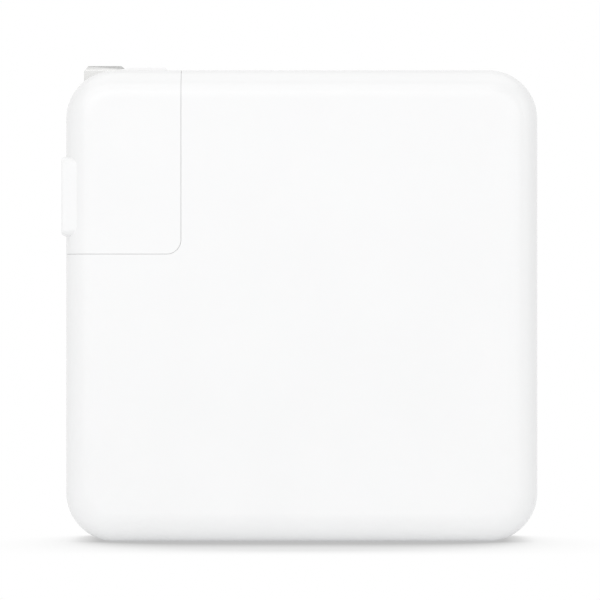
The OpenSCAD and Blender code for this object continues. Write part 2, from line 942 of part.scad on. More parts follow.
// Two chips on the main board and one on the output board
module controller_chips() {
    x = output_left + header_l / 2;
    color("#222222") {
        for (z = [usb_z - 1.75 * chip_w, usb_z + chip_w / 2])
            block([x, board_y - chip_h, z], [x + chip_l, board_y, z + chip_w]);
        block([output_left + chip_w, output_y - chip_h, usb_z - chip_l / 2],
              [output_left + 2 * chip_w, output_y, usb_z + chip_l / 2]);
    }
}

module output_capacitors() {
    color("mediumpurple")
        for (i = [0:2])
            translate([output_caps_x + i * output_caps_step, board_y, output_caps_z])
                rotate([90, 0, 0])
                    cylinder(r = output_cap_r, h = output_cap_h);
}

module output_inductor() {
    color("#444444")
        translate([inductor_x, board_y, inductor_z])
            rotate([90, 0, 0])
                cylinder(r = inductor_r, h = inductor_h);
}

// Film between the mains side and the output side
module isolation_barrier() {
    color("ivory")
        block([barrier_x, in_front + film_t + spreader_t + 0.3, board_low + 0.5],
              [barrier_x + barrier_t, board_y, output_low + output_board_h]);
}

// ---- heat spreading -------------------------------------------------------

// A plate on a broad wall, drawn in by d, between two heights in Y
module wall_plate(d, y0, y1) {
    block([film_left + d, y0, film_low + d], [film_right - d, y1, film_high - d]);
}

module front_insulator() {
    color("ivory")
        wall_plate(0, in_front, in_front + film_t);
}

module rear_insulator() {
    color("ivory")
        wall_plate(0, in_rear - film_t, in_rear);
}

module front_heat_spreader() {
    color("peru")
        wall_plate(film_edge, in_front + film_t, in_front + film_t + spreader_t);
}

module rear_heat_spreader() {
    color("peru")
        wall_plate(film_edge, in_rear - film_t - spreader_t, in_rear - film_t);
}

// One pad in front of the transformer and one behind it
module thermal_pads() {
    pad_front = in_front + film_t + spreader_t;
    pad_back = in_rear - film_t - spreader_t;
    color("lightblue") {
        block([core_x - pad_size / 2, pad_front, core_z - core_d / 2 + 0.5],
              [core_x + pad_size / 2, board_y - core_h, core_z + core_d / 2 - 0.5]);
        block([core_x - pad_size / 2, board_back_y, core_z - core_d / 2],
              [core_x + pad_size / 2, pad_back, core_z + core_d / 2]);
    }
}

// ---- wires ----------------------------------------------------------------

module live_wire() {
    start_x = inlet_x + pin_r;
    color("saddlebrown")
        wire([start_x, -pin_pitch / 2, wire_z], notch_in_x - 0.6 - start_x);
}

module neutral_wire() {
    color("royalblue")
        wire([inlet_x - pin_r, pin_pitch / 2, wire_z], -wire_bend - 0.4);
}

module ground_wire() {
    color("green")
        wire([notch_in_x + nut_t, 0, stud_z], wire_bend + 0.4);
}

// ---- wall plug ------------------------------------------------------------

// The plug's share of the body, drawn in by d but open on its inner side
module plug_solid(d, inner_x) {
    intersection() {
        body_solid(d);
        along_y(-far, far)
            corner_region(inner_x, plug_z + d, plug_corner_r);
    }
}

// The bevelled profile of the pad, which stands out of the left side by pad_out
// and reaches half to either side
module pad_profile(half) {
    bevel = min(pad_out, 0.5);
    face = left - pad_out;
    polygon([
        [face + bevel + 1, -half - 1], [face, bevel - half], [face, half - bevel],
        [face + bevel + 1, half + 1], [left + far, half + 1], [left + far, -half - 1]
    ]);
}

// The pad round the blades, bevelled on all four edges and round at its corners
module blade_pad() {
    pad_y = body_t / 2 - pad_edge;
    intersection() {
        along_x(left - 2 * pad_out, left + plug_wall)
            translate([0, pad_z])
                round_rect(2 * pad_y, pad_h, pad_r);
        along_y(-body_t, body_t)
            translate([0, pad_z])
                pad_profile(pad_h / 2);
        along_z(pad_z - pad_h, pad_z + pad_h)
            pad_profile(pad_y);
    }
}

// The raised guard behind the blade tips: a ramp climbs beside them, and the
// front and rear ends slope in
module tip_guard() {
    x0 = slot_end_x;
    x1 = slot_end_x + guard_l;
    foot_y = guard_w / 2 + guard_end;
    low_y = guard_w / 2 + 2 * guard_end / guard_h;
    high_y = guard_w / 2 - 2 * guard_end;
    intersection() {
        along_y(-foot_y, foot_y)
            polygon([
                [x0 - guard_ramp, body_h - 1], [x0 - guard_ramp, body_h - 0.4 * guard_h],
                [x0, body_h + 0.7 * guard_h], [x0 + 2.5 * guard_h, body_h + guard_h],
                [x1 - guard_h, body_h + guard_h], [x1, body_h], [x1, body_h - 1]
            ]);
        along_x(x0 - guard_ramp - 1, x1 + 1)
            polygon([
                [-low_y, body_h - 2], [low_y, body_h - 2],
                [high_y, body_h + 2 * guard_h], [-high_y, body_h + 2 * guard_h]
            ]);
    }
}

module plug_shell() {
    in_y = body_t / 2 - plug_wall;
    boss_y = cavity_l / 2;
    color("white")
        difference() {
            union() {
                difference() {
                    plug_solid(0, plug_x);
                    intersection() {
                        body_solid(plug_wall);
                        block([-far, -far, plug_z + plug_wall], [far, far, body_h + far]);
                    }
                }
                blade_pad();
                tip_guard();
                // bosses for the hinge pins
                for (s = [-1, 1])
                    translate([hinge_x, s * (boss_y + in_y + 0.5) / 2, hinge_z])
                        rotate([90, 0, 0])
                            cylinder(r = hinge_boss_r, h = in_y + 0.5 - boss_y, center = true);
                // pockets that close each blade's slot off from the inside
                intersection() {
                    body_solid(plug_wall / 2);
                    for (s = [-1, 1])
                        block([left, s * blade_pitch / 2 - slot_w / 2 - slot_rib,
                               hinge_z + cavity_r],
                              [slot_end_x + slot_rib, s * blade_pitch / 2 + slot_w / 2 + slot_rib,
                               body_h]);
                }
            }
            // room for the barrel
            translate([hinge_x, 0, hinge_z])
                rotate([90, 0, 0])
                    cylinder(r = cavity_r, h = cavity_l, center = true);
            // bores for the hinge pins
            for (s = [-1, 1])
                translate([hinge_x, s * (boss_y + in_y) / 2, hinge_z])
                    rotate([90, 0, 0])
                        cylinder(r = hinge_pin_r, h = in_y - boss_y + 1, center = true);
            // slots for the blades
            for (s = [-1, 1])
                block([-far, s * blade_pitch / 2 - slot_w / 2, slot_low_z],
                      [slot_end_x, s * blade_pitch / 2 + slot_w / 2, body_h + far]);
            // the nose and the T-slot's block pass through the bottom wall
            along_z(plug_z - 1, plug_z + plug_wall + 1)
                figure_eight(nose_r + shell_fit, nose_neck + 2 * shell_fit);
            block([slot_block_x - shell_fit, -slot_block_y - shell_fit, plug_z - 1],
                  [plug_x + 1, slot_block_y + shell_fit, plug_z + plug_wall + 1]);
        }
}

module plug_base() {
    plate_x = plug_x - base_plate_t;
    plate_low = plug_z + plug_wall + shell_fit;
    plate_high = body_h - plug_wall - shell_fit;
    plate_y = body_t / 2 - plug_wall - shell_fit;
    post_x = hinge_x + cavity_r + spring_t;
    color("whitesmoke")
        difference() {
            union() {
                along_x(plate_x, plug_x) {
                    translate([0, (plate_low + plate_high) / 2])
                        round_rect(2 * plate_y, plate_high - plate_low, edge_r - plug_wall);
                    translate([-plate_y, plate_low])
                        square([2 * plate_y, edge_r]);
                }
                intersection() {
                    block([slot_block_x, -slot_block_y, plug_z],
                          [plug_x, slot_block_y, slot_block_z]);
                    along_y(-far, far)
                        corner_region(plug_x, plug_z, plug_corner_r);
                }
                // two posts that carry the detent spring
                for (s = [-1, 1])
                    block([post_x, -spring_w / 2, hinge_z + s * (spring_l / 2 - 0.8) - 0.8],
                          [slot_block_x + eps, spring_w / 2,
                           hinge_z + s * (spring_l / 2 - 0.8) + 0.8]);
            }
            // the T-slot, open at the bottom
            block([plug_x - slot_lip - eps, -stud_neck_r - stud_gap, plug_z - 1],
                  [plug_x + 1, stud_neck_r + stud_gap, stud_z]);
            translate([plug_x - slot_lip - eps, 0, stud_z])
                rotate([0, 90, 0])
                    cylinder(r = stud_neck_r + stud_gap, h = slot_lip + 1);
            block([plug_x - slot_depth, -stud_head_r - stud_gap, plug_z - 1],
                  [plug_x - slot_lip, stud_head_r + stud_gap, stud_z]);
            translate([plug_x - slot_depth, 0, stud_z])
                rotate([0, 90, 0])
                    cylinder(r = stud_head_r + stud_gap, h = slot_depth - slot_lip);
        }
}

module plug_nose() {
    flange_z = plug_z + plug_wall;
    flange_x0 = inlet_x - nose_r - 0.6;
    flange_x1 = slot_block_x - shell_fit;
    color("whitesmoke")
        difference() {
            union() {
                along_z(plug_z - nose_l, flange_z + flange_t)
                    figure_eight(nose_r, nose_neck);
                block([flange_x0, -pin_pitch / 2 - nose_r - 0.8, flange_z],
                      [flange_x1, pin_pitch / 2 + nose_r + 0.8, flange_z + flange_t]);
            }
            for (s = [-1, 1])
                translate([inlet_x, s * pin_pitch / 2, 0]) {
                    translate([0, 0, plug_z - nose_l - 1])
                        cylinder(r = pin_r + 0.2, h = nose_l + plug_wall + flange_t + 2);
                    translate([0, 0, plug_z - nose_l + 1])
                        cylinder(r = tube_r, h = nose_l + plug_wall + flange_t + 1);
                }
        }
}

// One contact: a tube that grips the pin, a foot on the nose and a spring arm
module plug_contact(side) {
    foot_z = plug_z + plug_wall + flange_t;
    arm_x = slot_end_x + 0.1;
    y = side * pin_pitch / 2;
    arm_y = side * blade_pitch / 2;
    color("gold")
        difference() {
            union() {
                translate([inlet_x, y, plug_z - nose_l + 1])
                    cylinder(r = tube_r, h = foot_z - plug_z + nose_l - 1 + contact_t);
                block([inlet_x - tube_r, min(y, arm_y) - 1, foot_z],
                      [arm_x + contact_t, max(y, arm_y) + 1, foot_z + contact_t]);
                block([arm_x, arm_y - blade_t / 2, foot_z],
                      [arm_x + contact_t, arm_y + blade_t / 2, hinge_z + cavity_r - 0.2]);
            }
            translate([inlet_x, y, plug_z - nose_l])
                cylinder(r = pin_r + contact_fit, h = nose_l + foot_z - plug_z + contact_t + 1);
        }
}

module plug_contact_front() {
    plug_contact(-1);
}

module plug_contact_rear() {
    plug_contact(1);
}

module hinge_pins() {
    pin_end = body_t / 2 - plug_wall - 0.2;
    pin_start = barrel_l / 2 - hinge_pin_in;
    color("silver")
        for (s = [-1, 1])
            translate([hinge_x, s * (pin_start + pin_end) / 2, hinge_z])
                rotate([90, 0, 0])
                    cylinder(r = hinge_pin_r, h = pin_end - pin_start, center = true);
}

// A leaf that presses on the barrel's flats
module detent_spring() {
    color("silver")
        block([hinge_x + cavity_r, -spring_w / 2, hinge_z - spring_l / 2],
              [hinge_x + cavity_r + spring_t, spring_w / 2, hinge_z + spring_l / 2]);
}

// ---- blades ---------------------------------------------------------------

// A blade's tang, which the barrel is moulded round
module tang(side) {
    translate([hinge_x + tang_x, side * blade_pitch / 2 - blade_t / 2, hinge_z + tang_z])
        cube([tang_w, blade_t, blade_root - tang_z + eps]);
}

module blade_barrel() {
    flat = barrel_r - 0.35;
    flat_y = 0.8 * spring_w;
    color("whitesmoke")
        difference() {
            translate([hinge_x, 0, hinge_z])
                rotate([90, 0, 0])
                    cylinder(r = barrel_r, h = barrel_l, center = true);
            tang(-1);
            tang(1);
            for (s = [-1, 1])
                translate([hinge_x, s * barrel_l / 2, hinge_z])
                    rotate([90, 0, 0])
                        cylinder(r = hinge_pin_r + hinge_fit, h = 2 * hinge_pin_in + 0.4,
                                 center = true);
            // the detent's two flats
            block([hinge_x + flat, -flat_y, hinge_z - far],
                  [hinge_x + far, flat_y, hinge_z + far]);
            block([hinge_x - far, -flat_y, hinge_z - far],
                  [hinge_x + far, flat_y, hinge_z - flat]);
        }
}

// A blade: the tang, the flat, and a tip that is bevelled and trimmed
module blade(side) {
    x0 = hinge_x + blade_offset - blade_w / 2;
    x1 = hinge_x + blade_offset + blade_w / 2;
    z0 = hinge_z + blade_root;
    z1 = hinge_z + blade_reach;
    y = side * blade_pitch / 2;
    // what is cut off the tip's outer and inner corners, across and along
    trim_out = [0.65, 0.8];
    trim_in = [0.55, 0.45];
    color("silver") {
        tang(side);
        intersection() {
            along_y(y - blade_t / 2, y + blade_t / 2)
                difference() {
                    polygon([
                        [x0, z0], [x1, z0], [x1, z1 - trim_in[1]], [x1 - trim_in[0], z1],
                        [x0 + trim_out[0], z1], [x0, z1 - trim_out[1]]
                    ]);
                    translate([(x0 + x1) / 2, z1 - blade_hole_in])
                        circle(r = blade_hole_r);
                }
            along_x(x0 - 1, x1 + 1)
                polygon([
                    [y - blade_t / 2, z0], [y + blade_t / 2, z0],
                    [y + blade_t / 2, z1 - blade_bevel], [y + blade_tip_t / 2, z1],
                    [y - blade_tip_t / 2, z1], [y - blade_t / 2, z1 - blade_bevel]
                ]);
        }
    }
}

module blade_front() {
    blade(-1);
}

module blade_rear() {
    blade(1);
}

front_shell();
rear_shell();
inlet_housing();
inlet_pins();
ground_stud();
ground_nut();
usb_c_shell();
usb_c_tongue();
usb_c_contacts();
output_board();
main_board();
board_headers();
bulk_capacitors();
transformer_core();
transformer_bobbin();
transformer_winding();
choke_core();
choke_windings();
filter_capacitor();
fuse();
surge_limiter();
bridge_rectifier();
heat_sink();
power_transistor();
transistor_screw();
safety_capacitor();
opto_coupler();
controller_chips();
output_capacitors();
output_inductor();
isolation_barrier();
front_heat_spreader();
rear_heat_spreader();
front_insulator();
rear_insulator();
thermal_pads();
live_wire();
neutral_wire();
ground_wire();
plug_shell();
plug_base();
plug_nose();
plug_contact_front();
plug_contact_rear();
hinge_pins();
detent_spring();
blade_barrel();
blade_front();
blade_rear();
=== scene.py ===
"""Looks of the square white power adapter with its corner wall plug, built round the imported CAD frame."""

import json
import math

import bmesh
import bpy
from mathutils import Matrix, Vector


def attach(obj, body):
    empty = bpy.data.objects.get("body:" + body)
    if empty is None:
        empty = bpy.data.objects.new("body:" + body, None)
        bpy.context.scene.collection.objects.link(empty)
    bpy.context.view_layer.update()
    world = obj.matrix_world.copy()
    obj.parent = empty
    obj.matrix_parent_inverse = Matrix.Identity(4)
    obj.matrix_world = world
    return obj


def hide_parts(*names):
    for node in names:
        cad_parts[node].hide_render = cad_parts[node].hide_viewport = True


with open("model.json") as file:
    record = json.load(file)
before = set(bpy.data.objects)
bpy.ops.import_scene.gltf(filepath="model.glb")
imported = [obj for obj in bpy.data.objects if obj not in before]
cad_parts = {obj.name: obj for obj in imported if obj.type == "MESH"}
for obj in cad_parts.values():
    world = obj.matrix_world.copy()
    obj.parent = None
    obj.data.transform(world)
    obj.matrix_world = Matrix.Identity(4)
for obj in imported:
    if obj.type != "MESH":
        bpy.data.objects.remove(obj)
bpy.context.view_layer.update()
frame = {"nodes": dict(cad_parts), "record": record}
scene = bpy.context.scene

# ---------------------------------------------------------------- camera, in metres

# face-on, a little off the adapter's middle and far enough away to look flat
CAMERA_PLACE = (-0.000275, -0.8, 0.0379)
# in mm: at that distance these two show about 0.157 mm of the adapter in each of 600 pixels
SENSOR_WIDTH = 36
FOCAL_LENGTH = 301.8
NEAREST, FURTHEST = 0.01, 50

cam_data = bpy.data.cameras.new("camera")
cam = bpy.data.objects.new("camera", cam_data)
scene.collection.objects.link(cam)
cam.location = CAMERA_PLACE
cam.rotation_euler = (math.radians(90), 0, 0)
cam_data.sensor_fit = "HORIZONTAL"
cam_data.sensor_width = SENSOR_WIDTH
cam_data.lens = FOCAL_LENGTH
cam_data.clip_start = NEAREST
cam_data.clip_end = FURTHEST
scene.camera = cam

# ---------------------------------------------------------------- sizes, in mm, in the CAD frame

# the body stands on Z = 0, and its broad faces look along Y
BODY_W = 74.0
BODY_H = 74.0
BODY_T = 28.5
CORNER_R = 7.7
WALL = 2.0
SEAM_GAP = 0.06
# the rim between a broad face and the sides: its reach, and the power of its curve (2 is round)
RIM_REACH = 4.6
RIM_POWER = 2.25
LEFT = -BODY_W / 2

# the plug fills the body's notch, above and to the left of an inner corner
PLUG_X = -18.9
PLUG_Z = 45.1
PLUG_R = 2.2
PLUG_WALL = 1.8
PLUG_GAP = 0.03
NOTCH_X = PLUG_X + PLUG_GAP
NOTCH_Z = PLUG_Z - PLUG_GAP
NOTCH_R = PLUG_R + PLUG_GAP

# the inlet's opening and the smaller one for the plug's nose: two circles and a waist between them
INLET_X = -28.6
INLET_PITCH = 8.6
INLET_R, INLET_WAIST = 4.9, 7.4
NOSE_R, NOSE_WAIST = 3.8, 5.2

# the ground stud's hole, and the mouth of the slot in the plug that slides over it
STUD_Z = 60.0
STUD_HOLE_R = 2.3
STUD_SLOT_X = -23.18
STUD_SLOT_HALF = 4.9

USB_Z = BODY_H / 2
USB_L = 9.24
USB_W = 3.46

# the blades and the barrel that they turn with, about a line along Y
HINGE_X, HINGE_Z = -32.6, 52.6
BARREL_ROOM_R = 3.9
BARREL_ROOM_HALF = 9.9
BLADE_Y = 6.35
BLADE_T = 1.5
BLADE_W = 6.4
# a blade's middle line lies so far off the hinge's line, and its tip stands so far out of the top
BLADE_OFF = 1.5
BLADE_OUT = 0.8
BLADE_X = HINGE_X + BLADE_OFF
BLADE_ROOT = HINGE_Z + BARREL_ROOM_R
BLADE_TIP = BODY_H + BLADE_OUT
BLADE_HOLE_R = 1.6
BLADE_HOLE_IN = 11.7
TANG_W = 4.0
TANG_Z = 50.2
# the tang reaches so far into the blade that the two join
TANG_INTO = 0.01
# what is cut off the tip, across and along: its outer corner, its inner corner and its flat sides
TIP_OUTER = (0.65, 0.85)
TIP_INNER = (0.55, 0.45)
TIP_BEVEL = (0.45, 0.85)

# the slots that the folded blades lie in, and the ribs on both sides of them
SLOT_HALF = 1.0
SLOT_GAP = 0.3
SLOT_RIGHT = BLADE_X + BLADE_W / 2 + SLOT_GAP
SLOT_LOW = HINGE_Z + BLADE_OFF - BLADE_W / 2 - SLOT_GAP
SLOT_RIB = 0.8

# the pad round the blades: how far it stands out, and how far it stays from the broad faces
PAD_OUT = 0.6
PAD_EDGE = 0.75
PAD_FACE = LEFT - PAD_OUT
PAD_ROOT = LEFT + PLUG_WALL
PAD_HALF = BODY_T / 2 - PAD_EDGE
PAD_LOW, PAD_HIGH = 47.9, 60.3
PAD_TOP_R = 0.55
PAD_SIDE_R = 0.3
PAD_SIDE_LEAN = 0.12
PAD_CORNER_R = 1.4

# the guard behind the blades' tips, which climbs along a ramp beside them
GUARD_H = 0.45
GUARD_L = 6.6
GUARD_RAMP = 2.8
# where the ramp starts and ends, as shares of the guard's height, and how far on the guard is level
GUARD_START, GUARD_STEP = -0.4, 0.7
GUARD_LEVEL = 1.1
GUARD_FOOT_HALF = 9.4
GUARD_TOP_HALF = 8.2
GUARD_SLOPE = (BODY_H - 0.15, BODY_H + 0.55)

# edges are rounded by so much
CASE_EASE = 0.1
BLADE_EASE = 0.09

# how far a cutter reaches past what it cuts, and a reach that is past everything
OVER = 1.0
FAR = 60.0

# segments of the body's corners, its rim, a round hole, and the smaller arcs
CORNER_STEPS = 24
RIM_STEPS = 16
HOLE_STEPS = 48
PAD_CORNER_STEPS = 12
PAD_TOP_STEPS = 8
PAD_SIDE_STEPS = 6

X, Y, Z = range(3)

# ---------------------------------------------------------------- mesh tools

METRES = 0.001
# points closer than this, in mm, are one point
SAME_POINT = 0.004
SAME_POINT_AFTER = 0.001


def new_object(name, verts, faces):
    """A mesh object from points in mm."""
    mesh = bpy.data.meshes.new(name)
    mesh.from_pydata([tuple(c * METRES for c in vert) for vert in verts], [], faces)
    mesh.validate()
    bm = bmesh.new()
    bm.from_mesh(mesh)
    bmesh.ops.recalc_face_normals(bm, faces=bm.faces)
    bm.to_mesh(mesh)
    bm.free()
    obj = bpy.data.objects.new(name, mesh)
    scene.collection.objects.link(obj)
    return obj


def csg(obj, others, operation):
    """obj after a Boolean operation with each of the others, which go."""
    for other in others:
        mod = obj.modifiers.new("csg", "BOOLEAN")
        mod.operation = operation
        mod.solver = "EXACT"
        mod.object = other
        depsgraph = bpy.context.evaluated_depsgraph_get()
        mesh = bpy.data.meshes.new_from_object(obj.evaluated_get(depsgraph))
        obj.modifiers.clear()
        old = obj.data
        obj.data = mesh
        mesh.name = obj.name
        bpy.data.meshes.remove(old)
        bpy.data.meshes.remove(other.data)


def cut(obj, *others):
    csg(obj, others, "DIFFERENCE")


def join(obj, *others):
    csg(obj, others, "UNION")


def keep(obj, *others):
    csg(obj, others, "INTERSECT")


def arc(cx, cy, r, start, end, steps):
    """Points on an arc, both ends included, in degrees."""
    angles = [math.radians(start + (end - start) * i / steps) for i in range(steps + 1)]
    return [(cx + r * math.cos(a), cy + r * math.sin(a)) for a in angles]


def circle(cx, cy, r):
    return arc(cx, cy, r, 0, 360 - 360 / HOLE_STEPS, HOLE_STEPS - 1)


def round_rect(half, low, high, r, steps):
    """A rectangle that is centred across and reaches from low to high, with round corners."""
    w, lo, hi = half - r, low + r, high - r
    return (arc(w, hi, r, 0, 90, steps) + arc(-w, hi, r, 90, 180, steps)
            + arc(-w, lo, r, 180, 270, steps) + arc(w, lo, r, 270, 360, steps))


def upper_left(x, z, r, steps=16):
    """The region above and to the left of an inner corner of radius r."""
    far = 2 * FAR
    return arc(x - r, z + r, r, 270, 360, steps) + [(x, far), (-far, far), (-far, z)]


def figure_eight(r, waist, steps=24):
    """Two circles side by side in X and Y, and the waist between them."""
    a = math.degrees(math.asin(waist / 2 / r))
    return (arc(INLET_X, INLET_PITCH / 2, r, a - 90, 270 - a, steps)
            + arc(INLET_X, -INLET_PITCH / 2, r, 90 + a, 450 - a, steps))


def usb_outline(steps=12):
    """The socket's outline in Y and Z: a slot that stands upright."""
    r, s = USB_W / 2, (USB_L - USB_W) / 2
    return arc(0, USB_Z + s, r, 0, 180, steps) + arc(0, USB_Z - s, r, 180, 360, steps)


def pad_profile(low, high, r, lean, steps):
    """The pad from its root to its face, whose two edges are round and drawn in by lean."""
    return ([(PAD_ROOT, low)] + arc(PAD_FACE + r, low + r + lean, r, 270, 180, steps)
            + arc(PAD_FACE + r, high - r - lean, r, 180, 90, steps) + [(PAD_ROOT, high)])


def prism(name, axis, outline, low, high):
    """An outline in the two other axes, from low to high along this one."""
    n = len(outline)
    verts = [point[:axis] + (level,) + point[axis:] for level in (low, high) for point in outline]
    faces = [tuple(range(n)), tuple(reversed(range(n, 2 * n)))]
    faces += [(i, i + n, (i + 1) % n + n, (i + 1) % n) for i in range(n)]
    return new_object(name, verts, faces)


def block(name, low, high):
    (x0, y0, z0), (x1, y1, z1) = low, high
    return prism(name, Z, [(x0, y0), (x1, y0), (x1, y1), (x0, y1)], z0, z1)


def slab(name, inset, y0, y1):
    """The body as a closed solid drawn in by inset, cut off at y0 and y1 where these are inside it."""
    half = BODY_T / 2 - inset
    reach = RIM_REACH - inset
    power = 2 / RIM_POWER
    # from the edge of the front face out to the side
    rim = []
    for i in range(RIM_STEPS + 1):
        a = math.radians(90 * i / RIM_STEPS)
        rim.append((reach * (1 - math.sin(a) ** power), -half + reach * (1 - math.cos(a) ** power)))
    rings = rim if y0 <= -half else [(0.0, y0)]
    rings = rings + ([(off, -y) for off, y in reversed(rim)] if y1 >= half else [(0.0, y1)])
    verts, faces, count = [], [], 0
    for off, y in rings:
        d = inset + off
        loop = round_rect(BODY_W / 2 - d, d, BODY_H - d, CORNER_R - d, CORNER_STEPS)
        count = len(loop)
        verts += [(x, y, z) for x, z in loop]
    for k in range(len(rings) - 1):
        a, b = k * count, (k + 1) * count
        faces += [(a + i, a + (i + 1) % count, b + (i + 1) % count, b + i) for i in range(count)]
    faces.append(tuple(range(count)))
    faces.append(tuple(reversed(range(len(verts) - count, len(verts)))))
    return new_object(name, verts, faces)


def soften(obj, width, segments=3, flat_angle=0.05, sharp_angle=28, crease_angle=50):
    """Rounds the sharp edges of obj by width mm and smooths its shading."""
    bm = bmesh.new()
    bm.from_mesh(obj.data)
    bmesh.ops.remove_doubles(bm, verts=bm.verts, dist=SAME_POINT * METRES)
    bmesh.ops.dissolve_degenerate(bm, edges=bm.edges, dist=SAME_POINT * METRES)
    bmesh.ops.dissolve_limit(bm, angle_limit=math.radians(flat_angle), verts=bm.verts, edges=bm.edges,
                             use_dissolve_boundaries=False)
    sharp = [e for e in bm.edges if len(e.link_faces) == 2
             and e.calc_face_angle(0) > math.radians(sharp_angle)]
    bmesh.ops.bevel(bm, geom=sharp, offset=width * METRES, offset_type="OFFSET", segments=segments,
                    profile=0.5, affect="EDGES", clamp_overlap=True, loop_slide=True)
    bmesh.ops.remove_doubles(bm, verts=bm.verts, dist=SAME_POINT_AFTER * METRES)
    bmesh.ops.recalc_face_normals(bm, faces=bm.faces)
    for f in bm.faces:
        f.smooth = True
    for e in bm.edges:
        e.smooth = e.calc_face_angle(0) < math.radians(crease_angle)
    bm.to_mesh(obj.data)
    bm.free()
    mod = obj.modifiers.new("normals", "WEIGHTED_NORMAL")
    mod.keep_sharp = True
    mod.weight = 100


# ---------------------------------------------------------------- case shells

def shell_half(name, side):
    """The case's wall in front of the seam (side -1) or behind it (side 1)."""
    outer = slab(name, 0, *sorted((side * SEAM_GAP / 2, side * FAR)))
    inner = slab("tmp", WALL, *sorted((-side * OVER, side * FAR)))
    cut(inner, prism("tmp", Y, upper_left(NOTCH_X + WALL, NOTCH_Z - WALL, NOTCH_R + WALL), -FAR, FAR))
    cut(outer,
        prism("tmp", Y, upper_left(NOTCH_X, NOTCH_Z, NOTCH_R), -FAR, FAR),
        inner,
        prism("tmp", Z, figure_eight(INLET_R, INLET_WAIST), NOTCH_Z - WALL - OVER, NOTCH_Z + OVER),
        prism("tmp", X, circle(0, STUD_Z, STUD_HOLE_R), NOTCH_X - OVER, NOTCH_X + WALL + OVER),
        prism("tmp", X, usb_outline(), BODY_W / 2 - WALL - OVER, BODY_W / 2 + OVER))
    return outer


case_front = shell_half("case_front", -1)
case_rear = shell_half("case_rear", 1)
for piece, node in ((case_front, "front_shell"), (case_rear, "rear_shell")):
    soften(piece, CASE_EASE)
    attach(piece, "adapter")
    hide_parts(node)

# ---------------------------------------------------------------- wall plug

plug = slab("plug_case", 0, -FAR, FAR)
keep(plug, prism("tmp", Y, upper_left(PLUG_X, PLUG_Z, PLUG_R), -FAR, FAR))
hollow = slab("tmp", PLUG_WALL, -FAR, FAR)
keep(hollow, block("tmp", (-FAR, -FAR, PLUG_Z + PLUG_WALL), (PLUG_X + OVER, FAR, BODY_H + OVER)))
for side in (-1, 1):
    y, half = side * BLADE_Y, SLOT_HALF + SLOT_RIB
    cut(hollow, block("tmp", (LEFT, y - half, BLADE_ROOT), (SLOT_RIGHT + SLOT_RIB, y + half, BODY_H)))
cut(plug, hollow)

# the pad is rounded where it stands out, and at its corners as seen from the left
pad = prism("tmp", Y, pad_profile(PAD_LOW, PAD_HIGH, PAD_TOP_R, 0, PAD_TOP_STEPS), -PAD_HALF, PAD_HALF)
keep(pad,
     prism("tmp", Z, pad_profile(-PAD_HALF, PAD_HALF, PAD_SIDE_R, PAD_SIDE_LEAN, PAD_SIDE_STEPS),
           PAD_LOW - OVER, PAD_HIGH + OVER),
     prism("tmp", X, round_rect(PAD_HALF, PAD_LOW, PAD_HIGH, PAD_CORNER_R, PAD_CORNER_STEPS),
           PAD_FACE - OVER, PAD_ROOT + OVER))
join(plug, pad)

# the guard climbs from the left, is flat on top and falls away to the right, the front and the rear
guard_left, guard_right = SLOT_RIGHT, SLOT_RIGHT + GUARD_L
guard_top, guard_root = BODY_H + GUARD_H, BODY_H - OVER
guard = prism("tmp", Y, [
    (guard_left - GUARD_RAMP, guard_root), (guard_left - GUARD_RAMP, BODY_H + GUARD_START * GUARD_H),
    (guard_left, BODY_H + GUARD_STEP * GUARD_H), (guard_left + GUARD_LEVEL, guard_top),
    (guard_right - GUARD_H, guard_top), (guard_right, BODY_H), (guard_right, guard_root),
], -GUARD_FOOT_HALF, GUARD_FOOT_HALF)
slope_low, slope_high = GUARD_SLOPE
keep(guard, prism("tmp", X, [
    (-GUARD_FOOT_HALF, guard_root - OVER), (GUARD_FOOT_HALF, guard_root - OVER),
    (GUARD_FOOT_HALF, slope_low), (GUARD_TOP_HALF, slope_high),
    (-GUARD_TOP_HALF, slope_high), (-GUARD_FOOT_HALF, slope_low),
], guard_left - GUARD_RAMP - OVER, guard_right + OVER))
join(plug, guard)

# the blades' slots, the barrel's room, and the openings for the nose and the ground stud
for side in (-1, 1):
    y = side * BLADE_Y
    cut(plug, block("tmp", (-FAR, y - SLOT_HALF, SLOT_LOW),
                    (SLOT_RIGHT, y + SLOT_HALF, BODY_H + 5 * OVER)))
base_low, base_high = PLUG_Z - OVER, PLUG_Z + PLUG_WALL + OVER
cut(plug,
    prism("tmp", Y, circle(HINGE_X, HINGE_Z, BARREL_ROOM_R), -BARREL_ROOM_HALF, BARREL_ROOM_HALF),
    prism("tmp", Z, figure_eight(NOSE_R, NOSE_WAIST), base_low, base_high),
    block("tmp", (STUD_SLOT_X, -STUD_SLOT_HALF, base_low), (PLUG_X + OVER, STUD_SLOT_HALF, base_high)))
soften(plug, CASE_EASE)
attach(plug, "plug")
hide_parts("plug_shell")

# ---------------------------------------------------------------- blades


